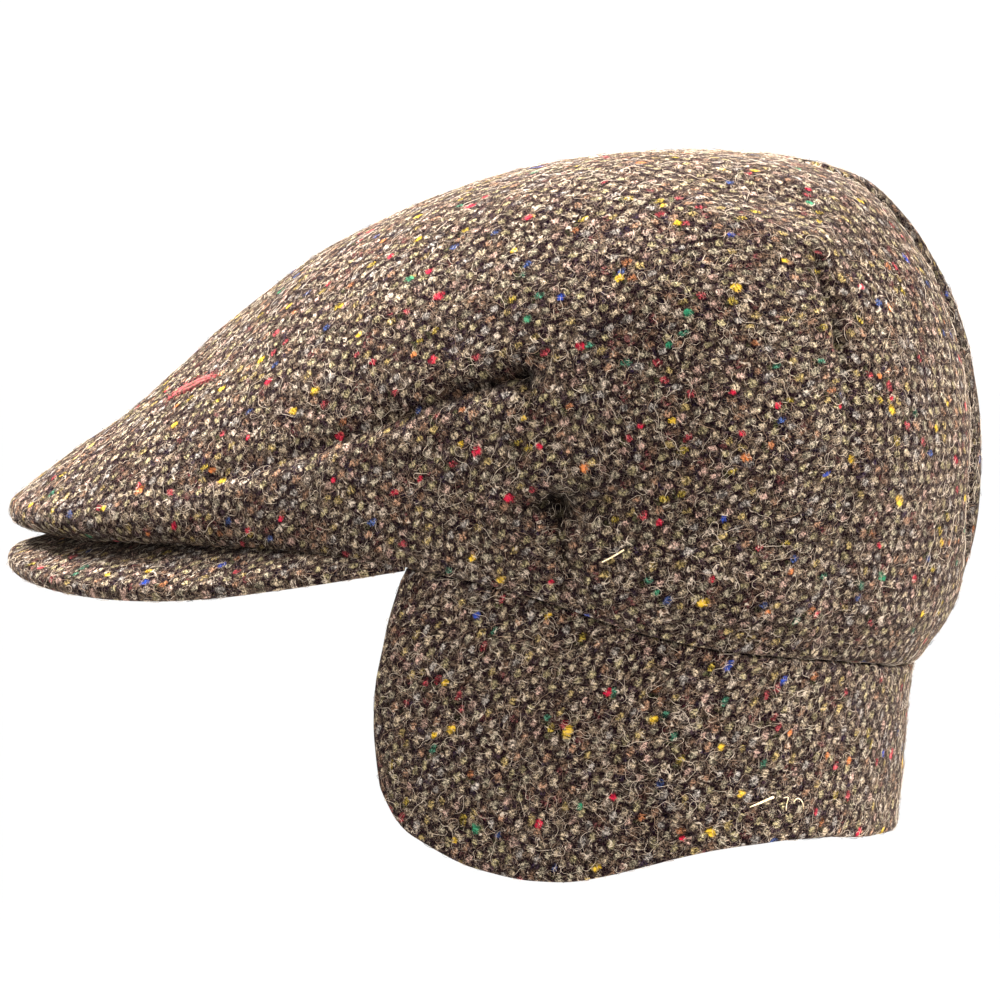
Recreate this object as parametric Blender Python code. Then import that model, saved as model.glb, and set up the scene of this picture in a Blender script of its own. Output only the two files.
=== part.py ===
"""Tweed flat cap with an ear and neck flap, in its worn form. Front is -Y, the wearer's left is +X, up is +Z,
and the origin is the centre of the head opening at the rim."""
import bpy
import numpy as np

# Sizes of the whole cap, in metres
CROWN_REACH = 0.192  # from the crown's pole forward to its tip
CROWN_RISE = 0.1315  # from the rim's middle up to the top
POLE_Y = 0.028  # the crown's pole lies behind the head's middle
CLOTH = 0.0025  # the crown's two layers of cloth
FLAP_CLOTH = 0.0032
TONGUE_CLOTH = 0.0018  # the flap's edge where it is sewn inside the crown
PEAK_BOARD = 0.0056
GAP = 0.0004  # between pieces

# The crown's level lines: how far out and how high each lies at these azimuths, 0 being the front
AZIMUTHS = np.radians((0, 15, 30, 50, 70, 90, 130, 180))
# Shares of CROWN_REACH outward from the pole
LEVEL_REACH = {
    "hem": (0.828, 0.775, 0.660, 0.536, 0.458, 0.428, 0.403, 0.370),
    "under": (0.969, 0.880, 0.700, 0.547, 0.466, 0.435, 0.411, 0.383),
    "lip": (0.999, 0.906, 0.716, 0.560, 0.479, 0.449, 0.432, 0.424),
    "panel": (0.999, 0.903, 0.716, 0.568, 0.503, 0.488, 0.484, 0.474),
    "crease": (0.976, 0.878, 0.692, 0.549, 0.498, 0.497, 0.511, 0.489),
    "shoulder": (0.823, 0.730, 0.618, 0.523, 0.479, 0.469, 0.479, 0.434),
    "top": (0.500, 0.466, 0.426, 0.383, 0.365, 0.354, 0.385, 0.337),
}
# Shares of CROWN_RISE above the rim's middle
LEVEL_RISE = {
    "hem": (0.199, 0.186, 0.178, 0.143, 0.087, 0.009, -0.064, -0.123),
    "under": (0.158, 0.163, 0.166, 0.137, 0.080, 0.005, -0.068, -0.122),
    "lip": (0.187, 0.192, 0.195, 0.167, 0.108, 0.036, -0.031, -0.061),
    "panel": (0.211, 0.217, 0.259, 0.297, 0.304, 0.268, 0.193, 0.106),
    "crease": (0.246, 0.256, 0.325, 0.445, 0.525, 0.548, 0.456, 0.342),
    "shoulder": (0.412, 0.458, 0.530, 0.612, 0.681, 0.722, 0.705, 0.696),
    "top": (0.788, 0.806, 0.831, 0.864, 0.894, 0.913, 0.899, 0.903),
}
LEVELS = list(LEVEL_REACH)
APEX = len(LEVELS)

# Folds, dents and sewn lines of the crown's left half, mirrored to the right. Each runs from one azimuth and level
# to another. Depth inward and width are in millimetres. A fold that goes through shows on the inside too.
FOLDS = (
    # name, azimuth, level, azimuth, level, depth, width, goes through
    ("front crease", 15, 4.12, 63, 4.02, 2.2, 4.5, True),
    ("roll under the crease", 17, 3.78, 62, 3.62, -1.2, 5.0, True),
    ("pucker at the crease's end", 57, 4.05, 66, 4.04, 2.6, 6.0, True),
    ("side pucker", 75, 2.90, 81, 3.10, 4.0, 8.0, True),
    ("side pucker's tail", 60, 2.62, 75, 2.90, 2.2, 6.0, True),
    ("front dart", 74.7, 3.0, 77, 2.1, 1.4, 4.0, True),
    ("dent of the top", 38, 4.95, 62, 5.05, 2.5, 24.0, True),
    ("back dart", 124, 1.9, 124, 5.4, 1.7, 4.5, True),
    ("back dart's end", 123, 4.9, 123, 5.4, 1.8, 6.0, True),
    ("back seam", 180, 1.6, 180, 6.1, 4.4, 8.0, True),
)

# The peak: a crescent from temple to temple, bent on a round form and sloping down to its tip
PEAK_CORNER_Y = -0.0385
PEAK_HALF_WIDTH = 0.0815
PEAK_REACH = 0.1252  # from the corners' line forward to the tip
PEAK_BLUNTNESS = 2.3
PEAK_INNER_HALF_WIDTH = 0.0772
PEAK_INNER_REACH = 0.060
PEAK_INNER_BLUNTNESS = 1.75
PEAK_TIP_RISE = 0.0124
PEAK_SLOPE = 0.295
PEAK_BEND = 0.128  # radius of the round form
PEAK_DROOP = 0.0068  # the corners' extra drop, so that they end below the crown's rim
PEAK_DROOP_LENGTH = 0.045

# The flap: its front edge's azimuth from the rim down, and its lower edge's height along its length
FLAP_FRONT = {"down": (0.0, 0.35, 0.7, 1.0), "azimuth": (51.2, 47.4, 45.1, 45.3)}
FLAP_LOWER = {
    "azimuth": (45.3, 47.0, 50.2, 55, 61, 73, 89, 103, 120, 145, 180),
    "height_mm": (-43, -52, -59, -64.2, -68, -70, -66, -61.2, -59.3, -61.8, -65.5),
}
FLAP_TAPER = 0.10  # inward per unit of depth below the rim
TONGUE_RISE = 0.006
TONGUE_LEAN = 0.0015  # inward at its top

MM = 0.001


def clear_scene():
    """Empties the file."""
    for ob in list(bpy.data.objects):
        bpy.data.objects.remove(ob, do_unlink=True)
    for group in (bpy.data.meshes, bpy.data.materials):
        for item in list(group):
            group.remove(item)


def spline(at, nodes, values, level=True):
    """A smooth curve through values at nodes, level or straight at both ends, read at the places in at."""
    nodes, values = np.asarray(nodes, float), np.asarray(values, float)
    step = np.diff(nodes)
    n = len(nodes)
    system, right = np.eye(n), np.zeros(n)
    for i in range(1, n - 1):
        a, b = 1 / step[i - 1], 1 / step[i]
        system[i, i - 1 : i + 2] = a, 2 * (a + b), b
        right[i] = 3 * (a * a * (values[i] - values[i - 1]) + b * b * (values[i + 1] - values[i]))
    if not level:
        system[0, :2] = system[-1, :-3:-1] = 2, 1
        right[0] = 3 * (values[1] - values[0]) / step[0]
        right[-1] = 3 * (values[-1] - values[-2]) / step[-1]
    slope = np.linalg.solve(system, right)
    at = np.asarray(at, float)
    k = np.clip(np.searchsorted(nodes, at, side="right") - 1, 0, n - 2)
    return hermite((at - nodes[k]) / step[k], values[k], values[k + 1], slope[k] * step[k], slope[k + 1] * step[k])


def hermite(t, start, end, leave, arrive):
    """A cubic from start to end, with the given slopes there."""
    return (
        (2 * t**3 - 3 * t**2 + 1) * start
        + (3 * t**2 - 2 * t**3) * end
        + (t**3 - 2 * t**2 + t) * leave
        + (t**3 - t**2) * arrive
    )


def folded(azimuth):
    """Azimuth brought to the left half, since the cap is the same on both sides."""
    return np.abs((azimuth + np.pi) % (2 * np.pi) - np.pi)


def level_lines(azimuth):
    """Reach and rise of each level and of the top point at each azimuth, as two arrays of levels by azimuths."""
    a = folded(azimuth)
    reach = [CROWN_REACH * spline(a, AZIMUTHS, row) for row in LEVEL_REACH.values()]
    rise = [CROWN_RISE * spline(a, AZIMUTHS, row) for row in LEVEL_RISE.values()]
    return np.array(reach + [0 * a]), np.array(rise + [0 * a + CROWN_RISE])


def crown_base(azimuth, level):
    """Points of the crown's smooth outer face. Azimuth and level are arrays of one shape."""
    shape = np.shape(azimuth)
    a, s = np.ravel(azimuth), np.ravel(level)
    reach, rise = level_lines(a)
    line = np.stack([reach, rise])
    chord = np.hypot(*np.diff(line, axis=1))
    ways = np.diff(line, axis=1) / chord
    # Each level's direction leans on its shorter neighbour, which keeps the lip's roll tight
    lean = chord[1:] / (chord[1:] + chord[:-1])
    inner = ways[:, :-1] * lean + ways[:, 1:] * (1 - lean)
    flat = np.stack([-np.ones_like(a), np.zeros_like(a)])
    slopes = np.concatenate([ways[:, :1], inner, flat[:, None]], axis=1)
    k = np.clip(np.floor(s).astype(int), 0, APEX - 1)
    i = np.arange(len(a))
    length = chord[k, i]
    out, up = (
        hermite(s - k, line[j, k, i], line[j, k + 1, i], slopes[j, k, i] * length, slopes[j, k + 1, i] * length)
        for j in (0, 1)
    )
    out = np.maximum(out, 0)
    points = np.stack([out * np.sin(a), POLE_Y - out * np.cos(a), up], axis=-1)
    return points.reshape(shape + (3,))


def peak_mid(x, y):
    """Height of the peak's middle layer."""
    tip_y = PEAK_CORNER_Y - PEAK_REACH
    bend = PEAK_BEND - np.sqrt(np.maximum(PEAK_BEND**2 - np.square(x), 0))
    droop = PEAK_DROOP * np.clip((y - PEAK_CORNER_Y) / PEAK_DROOP_LENGTH + 1, 0, 1.1) ** 2
    return PEAK_TIP_RISE + PEAK_SLOPE * (y - tip_y) - bend - droop


def clear_of_peak(points, level):
    """Lifts the crown's folded-under hem where it would cut into the peak."""
    x, y = points[..., 0], points[..., 1]
    rest = peak_mid(x, y) + PEAK_BOARD / 2 * np.hypot(1, PEAK_SLOPE) + 2 * GAP
    over = (y < PEAK_CORNER_Y + 0.004) & (level < 1.6)
    points[..., 2] = np.where(over, np.maximum(points[..., 2], rest), points[..., 2])
    return points


def normals(points, closed=True):
    """Outward unit normals of a grid of levels by azimuths."""
    along = np.gradient(points, axis=0)
    if closed:
        round_ = np.roll(points, -1, axis=1) - np.roll(points, 1, axis=1)
    else:
        round_ = np.gradient(points, axis=1)
    n = np.cross(round_, along)
    return n / np.maximum(np.linalg.norm(n, axis=-1, keepdims=True), 1e-12)


def fold_depth(points, fold):
    """How far a fold presses each point in, in metres."""
    name, a0, s0, a1, s1, depth, width, through = fold
    share = np.linspace(0, 1, 9)
    spine = crown_base(np.radians(a0 + (a1 - a0) * share), s0 + (s1 - s0) * share)
    left = points * np.array([1, 1, 1])
    left[..., 0] = np.abs(left[..., 0])
    nearest = np.full(points.shape[:-1], np.inf)
    for p, q in zip(spine[:-1], spine[1:]):
        way = q - p
        t = np.clip(((left - p) @ way) / (way @ way), 0, 1)
        nearest = np.minimum(nearest, np.linalg.norm(left - p - t[..., None] * way, axis=-1))
    return MM * depth * np.exp(-((nearest / (MM * width)) ** 2))


def crown_faces(azimuths, levels):
    """The crown's outer and inner grids, each levels by azimuths by 3."""
    a, s = np.meshgrid(azimuths, levels)
    base = clear_of_peak(crown_base(a, s), s)
    n = normals(base)
    depth = sum(fold_depth(base, fold) for fold in FOLDS)
    fade = np.clip((s - 0.9) / 0.8, 0, 1)
    outer = base - n * (depth * fade)[..., None]
    inner = outer - normals(outer) * CLOTH
    return outer, inner


def add_mesh(name, verts, faces, colour, roughness):
    """One closed solid with its own material."""
    mesh = bpy.data.meshes.new(name)
    mesh.from_pydata([tuple(map(float, v)) for v in verts], [], [tuple(map(int, f)) for f in faces])
    mesh.validate()
    ob = bpy.data.objects.new(name, mesh)
    bpy.context.collection.objects.link(ob)
    material = bpy.data.materials.new(name)
    material.use_nodes = True
    shader = material.node_tree.nodes["Principled BSDF"]
    shader.inputs["Base Color"].default_value = (*colour, 1)
    shader.inputs["Roughness"].default_value = roughness
    mesh.materials.append(material)
    return ob


def grid_faces(rows, columns, first=0, closed=False, flip=False):
    """Four-sided faces of a grid of points numbered row by row."""
    faces = []
    for i in range(rows - 1):
        for j in range(columns if closed else columns - 1):
            k = (j + 1) % columns
            f = (first + i * columns + j, first + i * columns + k, first + (i + 1) * columns + k,
                 first + (i + 1) * columns + j)
            faces.append(f[::-1] if flip else f)
    return faces


def stations(stops, counts):
    """Values that run from stop to stop with the given number of steps."""
    parts = [np.linspace(a, b, n, endpoint=False) for a, b, n in zip(stops[:-1], stops[1:], counts)]
    return np.concatenate(parts + [stops[-1:]])


def crown_azimuths():
    """Azimuths of the crown's columns, closer together beside the sewn lines."""
    half = stations(np.radians((0, 46, 52, 84, 118, 130, 172, 180)), (9, 2, 7, 5, 4, 6, 3))
    return np.concatenate([half, -half[-2:0:-1]])


def make_crown():
    """The one-piece top with its folded front lip."""
    azimuths = crown_azimuths()
    levels = stations(np.array((0, 1, 2, 3, 3.6, 4.5, 5, 6, APEX - 0.12)), (3, 2, 2, 2, 5, 2, 4, 4))
    outer, inner = crown_faces(azimuths, levels)
    rows, columns = len(levels), len(azimuths)
    verts = np.concatenate([outer.reshape(-1, 3), inner.reshape(-1, 3)])
    faces = grid_faces(rows, columns, 0, closed=True)
    faces += grid_faces(rows, columns, rows * columns, closed=True, flip=True)
    inner_first = rows * columns
    for j in range(columns):
        k = (j + 1) % columns
        faces.append((k, j, inner_first + j, inner_first + k))
    top = np.array([[0, POLE_Y, CROWN_RISE]])
    verts = np.concatenate([verts, top, top - (0, 0, CLOTH)])
    last = (rows - 1) * columns
    for j in range(columns):
        k = (j + 1) % columns
        faces.append((last + j, last + k, len(verts) - 2))
        faces.append((inner_first + last + k, inner_first + last + j, len(verts) - 1))
    add_mesh("crown", verts, faces, (0.13, 0.095, 0.07), 0.95)


def rounded(distance, radius):
    """Share of full thickness at a distance from a rounded edge."""
    t = np.clip(distance / radius, 0, 1)
    return 0.25 + 0.75 * np.sqrt(1 - (1 - t) ** 2)


def crescent(half_width, reach, bluntness, bearing):
    """A point of the peak's inner or outer edge in the direction of bearing, 0 being the front."""
    c, s = np.cos(bearing), np.sin(bearing)
    r = (np.abs(s / half_width) ** bluntness + np.abs(c / reach) ** bluntness) ** (-1 / bluntness)
    return np.stack([r * s, PEAK_CORNER_Y - r * c], axis=-1)


def shell(name, lower, upper, colour, roughness):
    """A solid between two grids of one size, closed round their common border."""
    rows, columns = lower.shape[:2]
    first = rows * columns
    verts = np.concatenate([lower.reshape(-1, 3), upper.reshape(-1, 3)])
    faces = grid_faces(rows, columns, 0) + grid_faces(rows, columns, first, flip=True)
    border = (
        [(0, j) for j in range(columns)]
        + [(i, columns - 1) for i in range(1, rows)]
        + [(rows - 1, j) for j in range(columns - 2, -1, -1)]
        + [(i, 0) for i in range(rows - 2, 0, -1)]
    )
    ring = [i * columns + j for i, j in border]
    for p, q in zip(ring, ring[1:] + ring[:1]):
        faces.append((q, p, first + p, first + q))
    return add_mesh(name, verts, faces, colour, roughness)


def make_peak():
    """The stiff crescent under the crown's front."""
    bearing = np.radians(stations(np.array((-89, -70, 70, 89)), (5, 34, 5)))
    across = np.array((0, 0.04, 0.2, 0.4, 0.6, 0.8, 0.9, 0.96, 1.0))
    near = crescent(PEAK_INNER_HALF_WIDTH, PEAK_INNER_REACH, PEAK_INNER_BLUNTNESS, bearing)
    far = crescent(PEAK_HALF_WIDTH, PEAK_REACH, PEAK_BLUNTNESS, bearing)
    plan = near + (far - near) * across[:, None, None]
    width = np.linalg.norm(far - near, axis=-1)
    to_edge = width * np.minimum(1 - across, across)[:, None]
    ends = np.linalg.norm(plan - plan[:, -1:], axis=-1)
    ends = np.minimum(ends, np.linalg.norm(plan - plan[:, :1], axis=-1))
    half = PEAK_BOARD / 2 * rounded(np.minimum(to_edge, ends), PEAK_BOARD / 2)
    mid = np.dstack([plan, peak_mid(plan[..., 0], plan[..., 1])])
    n = normals(mid, closed=False)
    n *= np.sign(n[..., 2:3])
    shell("peak", mid - n * half[..., None], mid + n * half[..., None], (0.12, 0.088, 0.065), 0.95)


def flap_grid():
    """The flap's outer and inner grids, from the rim down by left temple round the nape to the right temple."""
    share = stations(np.array((0, 0.02, 0.12, 1.0)), (2, 4, 16))
    share = np.concatenate([share - 1, 1 - share[-2::-1]])
    below_mm = (0.6, 2.4)
    rows_out, rows_in = [], []
    lower_nodes = np.radians(FLAP_LOWER["azimuth"])
    on_edge = np.pi - (np.pi - lower_nodes[0]) * np.abs(share)
    lower = MM * spline(on_edge, lower_nodes, FLAP_LOWER["height_mm"], level=False)
    down = stations(np.array((0.08, 0.9, 0.97, 1.0)), (5, 1, 2))
    plans = [("top", TONGUE_RISE), ("root", 0.0)] + [("step", -MM * b) for b in below_mm] + [("body", d) for d in down]
    side = np.where(share < 0, 1.0, -1.0)
    for kind, value in plans:
        d = value if kind == "body" else 0.0
        edge = np.radians(spline(d, FLAP_FRONT["down"], FLAP_FRONT["azimuth"], level=False))
        a = np.pi - (np.pi - edge) * np.abs(share)
        reach, rise = level_lines(a)
        rim = np.minimum(rise[0], rise[1])
        inside, flush = reach[0] - GAP - 0.0001, reach[1] + 0.0008
        if kind == "body":
            z = rim + (lower - rim) * d
        else:
            z = rim + value
        r = {"top": inside - TONGUE_LEAN, "root": inside, "step": inside + (flush - inside) * (0.35 if value > -0.001 else 1.0)}.get(
            kind, flush
        )
        r = r - FLAP_TAPER * np.maximum(rim - z, 0)
        thick = FLAP_CLOTH if kind == "body" or value < -0.001 else TONGUE_CLOTH
        drop = (rim - lower) * (1 - d)
        end = np.minimum(np.abs(np.abs(share) - 1), 1) * (np.pi - edge) * r
        half = thick * rounded(np.minimum(drop, end), FLAP_CLOTH / 2)
        mid = r - thick / 2
        for rows, sign in ((rows_out, 1), (rows_in, -1)):
            q = mid + sign * half / 2
            rows.append(np.stack([side * q * np.sin(a), POLE_Y - q * np.cos(a), z], axis=-1))
    return np.array(rows_out), np.array(rows_in)


def make_flap():
    """The band over ears and neck."""
    outer, inner = flap_grid()
    shell("flap", inner, outer, (0.10, 0.073, 0.054), 0.95)


clear_scene()
make_crown()
make_peak()
make_flap()
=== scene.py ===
"""Looks of a tweed flat cap with an ear flap. In metres, front is -Y, the wearer's left +X, up +Z."""
import math
import bpy
import numpy as np
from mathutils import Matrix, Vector, noise
from mathutils.bvhtree import BVHTree


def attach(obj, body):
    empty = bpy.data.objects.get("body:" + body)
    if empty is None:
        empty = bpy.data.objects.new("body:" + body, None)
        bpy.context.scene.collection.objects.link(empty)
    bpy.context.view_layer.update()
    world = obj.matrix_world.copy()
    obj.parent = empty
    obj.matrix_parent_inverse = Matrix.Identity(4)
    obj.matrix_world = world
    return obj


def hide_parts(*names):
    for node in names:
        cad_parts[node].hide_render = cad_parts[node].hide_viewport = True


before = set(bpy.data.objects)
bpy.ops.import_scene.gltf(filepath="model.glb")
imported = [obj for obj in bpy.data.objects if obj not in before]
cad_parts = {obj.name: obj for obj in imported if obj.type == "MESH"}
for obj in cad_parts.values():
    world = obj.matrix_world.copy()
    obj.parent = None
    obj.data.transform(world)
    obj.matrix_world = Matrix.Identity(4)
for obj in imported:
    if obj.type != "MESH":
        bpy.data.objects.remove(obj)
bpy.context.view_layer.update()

MM = 0.001
CLOTH_MAP = "cloth"  # the UV map that holds each point's place on the flat cloth, in millimetres
BAKE_MAP = "OFBake"  # the UV map with every face in a place of its own, in a unit square
RIM_STRIP = 1.5  # millimetres of that map for the cut edge of the cloth
MAP_MARGIN = 0.01  # left free round that map
# Painted shade: how strongly the cloth's colour is darkened at the bottom of sharp folds and seams
FOLD_SHADE = "painted_fold_shade"  # 1 at the bottom of a sharp fold or seam and 0 away from it

# The cap's sizes, as the solid part has them
CROWN_REACH = 0.192
CROWN_RISE = 0.1315
POLE_Y = 0.028
CLOTH = 0.0025
FLAP_CLOTH = 0.0032
TONGUE_CLOTH = 0.0018
PEAK_BOARD = 0.0056
GAP = 0.0004

# The crown's level lines at these azimuths, 0 being the front
AZIMUTHS = np.radians((0, 15, 30, 50, 70, 90, 130, 180))
# Shares of CROWN_REACH outward from the pole
LEVEL_REACH = {
    "hem": (0.828, 0.775, 0.660, 0.536, 0.458, 0.428, 0.403, 0.370),
    "under": (0.969, 0.880, 0.700, 0.547, 0.466, 0.435, 0.411, 0.383),
    "lip": (0.999, 0.906, 0.716, 0.560, 0.479, 0.449, 0.432, 0.424),
    "panel": (0.999, 0.903, 0.716, 0.568, 0.503, 0.488, 0.484, 0.474),
    "crease": (0.976, 0.878, 0.692, 0.549, 0.498, 0.497, 0.511, 0.489),
    "shoulder": (0.823, 0.730, 0.618, 0.523, 0.479, 0.469, 0.479, 0.434),
    "top": (0.500, 0.466, 0.426, 0.383, 0.365, 0.354, 0.385, 0.337),
}
# Shares of CROWN_RISE above the rim's middle
LEVEL_RISE = {
    "hem": (0.199, 0.186, 0.178, 0.143, 0.087, 0.009, -0.064, -0.123),
    "under": (0.158, 0.163, 0.166, 0.137, 0.080, 0.005, -0.068, -0.122),
    "lip": (0.187, 0.192, 0.195, 0.167, 0.108, 0.036, -0.031, -0.061),
    "panel": (0.211, 0.217, 0.259, 0.297, 0.304, 0.268, 0.193, 0.106),
    "crease": (0.246, 0.256, 0.325, 0.445, 0.525, 0.548, 0.456, 0.342),
    "shoulder": (0.412, 0.458, 0.530, 0.612, 0.681, 0.722, 0.705, 0.696),
    "top": (0.788, 0.806, 0.831, 0.864, 0.894, 0.913, 0.899, 0.903),
}
APEX = len(LEVEL_REACH)

# Folds, dents and sewn lines of the crown. Depth inward and width are in millimetres. A shape of 2 is a soft
# trough and 1 is a sharp one, whose bottom also gets painted shade in the cloth's colour. Sides: 0 is both
# halves alike, 1 the left one alone and -1 the right one alone.
FOLDS = (
    # name, azimuth, level, azimuth, level, depth at each end, width, shape, sides
    ("crease behind the tip", 23.5, 3.36, 29, 3.88, 0.5, 1.3, 2.8, 2, 0),
    ("front crease", 29, 3.90, 50, 4.02, 1.3, 1.6, 3.6, 2, 0),
    ("front crease, deep half", 50, 4.02, 70, 4.11, 1.2, 1.8, 3.4, 2, 0),
    ("crease's sharp line", 31, 3.95, 52, 4.03, 0.2, 1.0, 1.4, 1, 0),
    ("crease's deep end", 52, 4.03, 70.5, 4.10, 1.0, 3.2, 1.7, 1, 0),
    ("crease's hook", 70.5, 4.08, 73.5, 3.70, 3.0, 0.6, 2.4, 1, 0),
    ("roll under the crease", 28, 3.62, 68, 3.80, -0.7, -0.8, 6.0, 2, 0),
    ("ridge over the crease's end", 52, 4.34, 70, 4.42, -0.3, -1.0, 6.0, 2, 0),
    ("side pucker", 78.3, 2.84, 87, 2.98, 3.5, 2.4, 6.5, 2, 0),
    ("side pucker's pocket", 78.6, 2.87, 88, 3.12, 1.3, 1.0, 4.0, 1, 0),
    ("side pucker's tail", 63, 2.60, 75.6, 2.90, 0.5, 2.2, 4.5, 2, 0),
    ("side pucker's sharp line", 68, 2.76, 75.7, 2.92, 0.4, 2.4, 1.6, 1, 0),
    ("side pucker's upper edge", 75.7, 2.94, 83, 3.17, 2.2, 0.6, 1.7, 1, 0),
    ("ridge over the side pucker", 73, 3.10, 92, 3.50, -1.5, -0.5, 4.0, 2, 0),
    ("ridge under the tail", 62, 2.42, 73, 2.66, -0.3, -0.9, 3.5, 2, 0),
    ("front dart", 75.6, 2.85, 78.1, 2.15, 1.0, 0.8, 3.5, 2, 0),
    ("front dart's stitching", 75.6, 2.88, 78.1, 2.15, 3.2, 2.0, 1.5, 1, 0),
    ("front dart's welt", 73.4, 2.80, 76.0, 2.15, -0.9, -0.7, 1.8, 2, 0),
    ("dent of the top", 60, 4.98, 73, 5.16, 1.8, 2.2, 20.0, 2, 0),
    ("shoulder of the side", 84, 5.92, 123, 5.48, -0.9, -2.1, 8.0, 2, 0),
    ("dent behind the shoulder", 98, 6.12, 122, 5.98, 0.9, 2.4, 11.0, 2, 0),
    ("back dart", 124.3, 4.55, 128, 1.9, 0.9, 0.3, 4.5, 2, 0),
    ("back dart's stitching", 124.3, 4.6, 128, 1.9, 1.1, 0.5, 1.0, 1, 0),
    ("back dart's slit", 122.2, 5.28, 124.4, 4.55, 1.8, 2.2, 1.3, 1, 0),
    ("back dart's hollow", 122.4, 5.05, 124.2, 4.55, 0.5, 0.8, 4.0, 2, 0),
    ("ridge behind the dart", 124.8, 5.25, 136, 4.80, -1.0, -0.4, 5.0, 2, 0),
    ("left panel sunk at the back seam", 175, 2.5, 175, 3.7, 0.4, 3.8, 16.0, 2, 1),
    ("left panel sunk, upper half", 175, 3.7, 175, 6.2, 3.8, 3.0, 16.0, 2, 1),
    ("right panel proud at the back seam", 187, 2.9, 187, 6.1, -0.4, -1.2, 7.0, 2, -1),
    ("right panel's turned edge", 183.6, 2.9, 183.6, 6.1, 2.0, 2.6, 4.6, 1, -1),
    ("back seam", 180, 1.7, 180, 3.4, 0.5, 3.2, 3.2, 2, 0),
    ("back seam, upper half", 180, 3.4, 180, 6.2, 3.2, 3.0, 3.2, 2, 0),
    ("back seam's stitching", 180, 1.7, 180, 6.1, 1.6, 2.2, 1.5, 1, 0),
)

# The peak
PEAK_CORNER_Y = -0.0358
PEAK_HALF_WIDTH = 0.0815
PEAK_REACH = 0.1279
PEAK_BLUNTNESS = 2.3
PEAK_INNER_HALF_WIDTH = 0.0772
PEAK_INNER_REACH = 0.0627
PEAK_INNER_BLUNTNESS = 1.75
PEAK_TIP_RISE = 0.0124
PEAK_SLOPE = 0.295
PEAK_BEND = 0.128
PEAK_DROOP = 0.0068
PEAK_DROOP_LENGTH = 0.045
# The cover thins and rises at the corners, to end under the crown's rim
PEAK_CORNER_LENGTH = 0.040
PEAK_CORNER_THINNING = 0.6
PEAK_CORNER_LIFT = 0.0030

# The flap's front edge from the rim down, and its lower edge along its length
FLAP_FRONT = {"down": (0.0, 0.35, 0.7, 1.0), "azimuth": (51.2, 47.4, 45.1, 45.3)}
FLAP_LOWER = {
    "azimuth": (45.3, 47.0, 50.2, 55, 61, 73, 89, 103, 120, 145, 180),
    "height_mm": (-43, -52, -59, -64.2, -68, -70, -66, -61.2, -59.3, -61.8, -65.5),
}
FLAP_TAPER = 0.10
TONGUE_RISE = 0.006
TONGUE_LEAN = 0.0015

# The camera that matches the photograph's view
CAMERA_AT = (1.1889, 0.1060, 0.1340)
CAMERA_LOOKS_AT = (0.0, -0.019, 0.0294)
CAMERA_LENS = 147.3
SENSOR = 36.0
PICTURE = 1000  # pixels each way

FLOOR_Z = -0.30


def spline(at, nodes, values, level=True):
    """A smooth curve through values at nodes, level or straight at both ends, read at the places in at."""
    nodes, values = np.asarray(nodes, float), np.asarray(values, float)
    step = np.diff(nodes)
    n = len(nodes)
    system, right = np.eye(n), np.zeros(n)
    for i in range(1, n - 1):
        a, b = 1 / step[i - 1], 1 / step[i]
        system[i, i - 1 : i + 2] = a, 2 * (a + b), b
        right[i] = 3 * (a * a * (values[i] - values[i - 1]) + b * b * (values[i + 1] - values[i]))
    if not level:
        system[0, :2] = system[-1, :-3:-1] = 2, 1
        right[0] = 3 * (values[1] - values[0]) / step[0]
        right[-1] = 3 * (values[-1] - values[-2]) / step[-1]
    slope = np.linalg.solve(system, right)
    at = np.asarray(at, float)
    k = np.clip(np.searchsorted(nodes, at, side="right") - 1, 0, n - 2)
    t, length = (at - nodes[k]) / step[k], step[k]
    return hermite(t, values[k], values[k + 1], slope[k] * length, slope[k + 1] * length)


def hermite(t, start, end, leave, arrive):
    """A cubic from start to end, with the given slopes there."""
    return (
        (2 * t**3 - 3 * t**2 + 1) * start
        + (3 * t**2 - 2 * t**3) * end
        + (t**3 - 2 * t**2 + t) * leave
        + (t**3 - t**2) * arrive
    )


def folded(azimuth):
    """Azimuth brought to the left half, since the cap is the same on both sides."""
    return np.abs((azimuth + np.pi) % (2 * np.pi) - np.pi)


def level_lines(azimuth):
    """Reach and rise at each azimuth of each level and of the top point: two arrays of levels by azimuths."""
    a = folded(azimuth)
    reach = [CROWN_REACH * spline(a, AZIMUTHS, row) for row in LEVEL_REACH.values()]
    rise = [CROWN_RISE * spline(a, AZIMUTHS, row) for row in LEVEL_RISE.values()]
    return np.array(reach + [0 * a]), np.array(rise + [0 * a + CROWN_RISE])


def crown_base(azimuth, level):
    """Points of the crown's smooth outer face. Azimuth and level are arrays of one shape."""
    shape = np.shape(azimuth)
    a, s = np.ravel(azimuth), np.ravel(level)
    reach, rise = level_lines(a)
    line = np.stack([reach, rise])
    chord = np.hypot(*np.diff(line, axis=1))
    ways = np.diff(line, axis=1) / chord
    lean = chord[1:] / (chord[1:] + chord[:-1])
    inner = ways[:, :-1] * lean + ways[:, 1:] * (1 - lean)
    flat = np.stack([-np.ones_like(a), np.zeros_like(a)])
    slopes = np.concatenate([ways[:, :1], inner, flat[:, None]], axis=1)
    k = np.clip(np.floor(s).astype(int), 0, APEX - 1)
    i = np.arange(len(a))
    length = chord[k, i]
    leave, arrive = slopes[:, k, i] * length, slopes[:, k + 1, i] * length
    out, up = hermite(s - k, line[:, k, i], line[:, k + 1, i], leave, arrive)
    out = np.maximum(out, 0)
    points = np.stack([out * np.sin(a), POLE_Y - out * np.cos(a), up], axis=-1)
    return points.reshape(shape + (3,))


def peak_mid(x, y):
    """Height of the peak's middle layer."""
    tip_y = PEAK_CORNER_Y - PEAK_REACH
    bend = PEAK_BEND - np.sqrt(np.maximum(PEAK_BEND**2 - np.square(x), 0))
    droop = PEAK_DROOP * np.clip((y - PEAK_CORNER_Y) / PEAK_DROOP_LENGTH + 1, 0, 1.1) ** 2
    return PEAK_TIP_RISE + PEAK_SLOPE * (y - tip_y) - bend - droop


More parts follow.
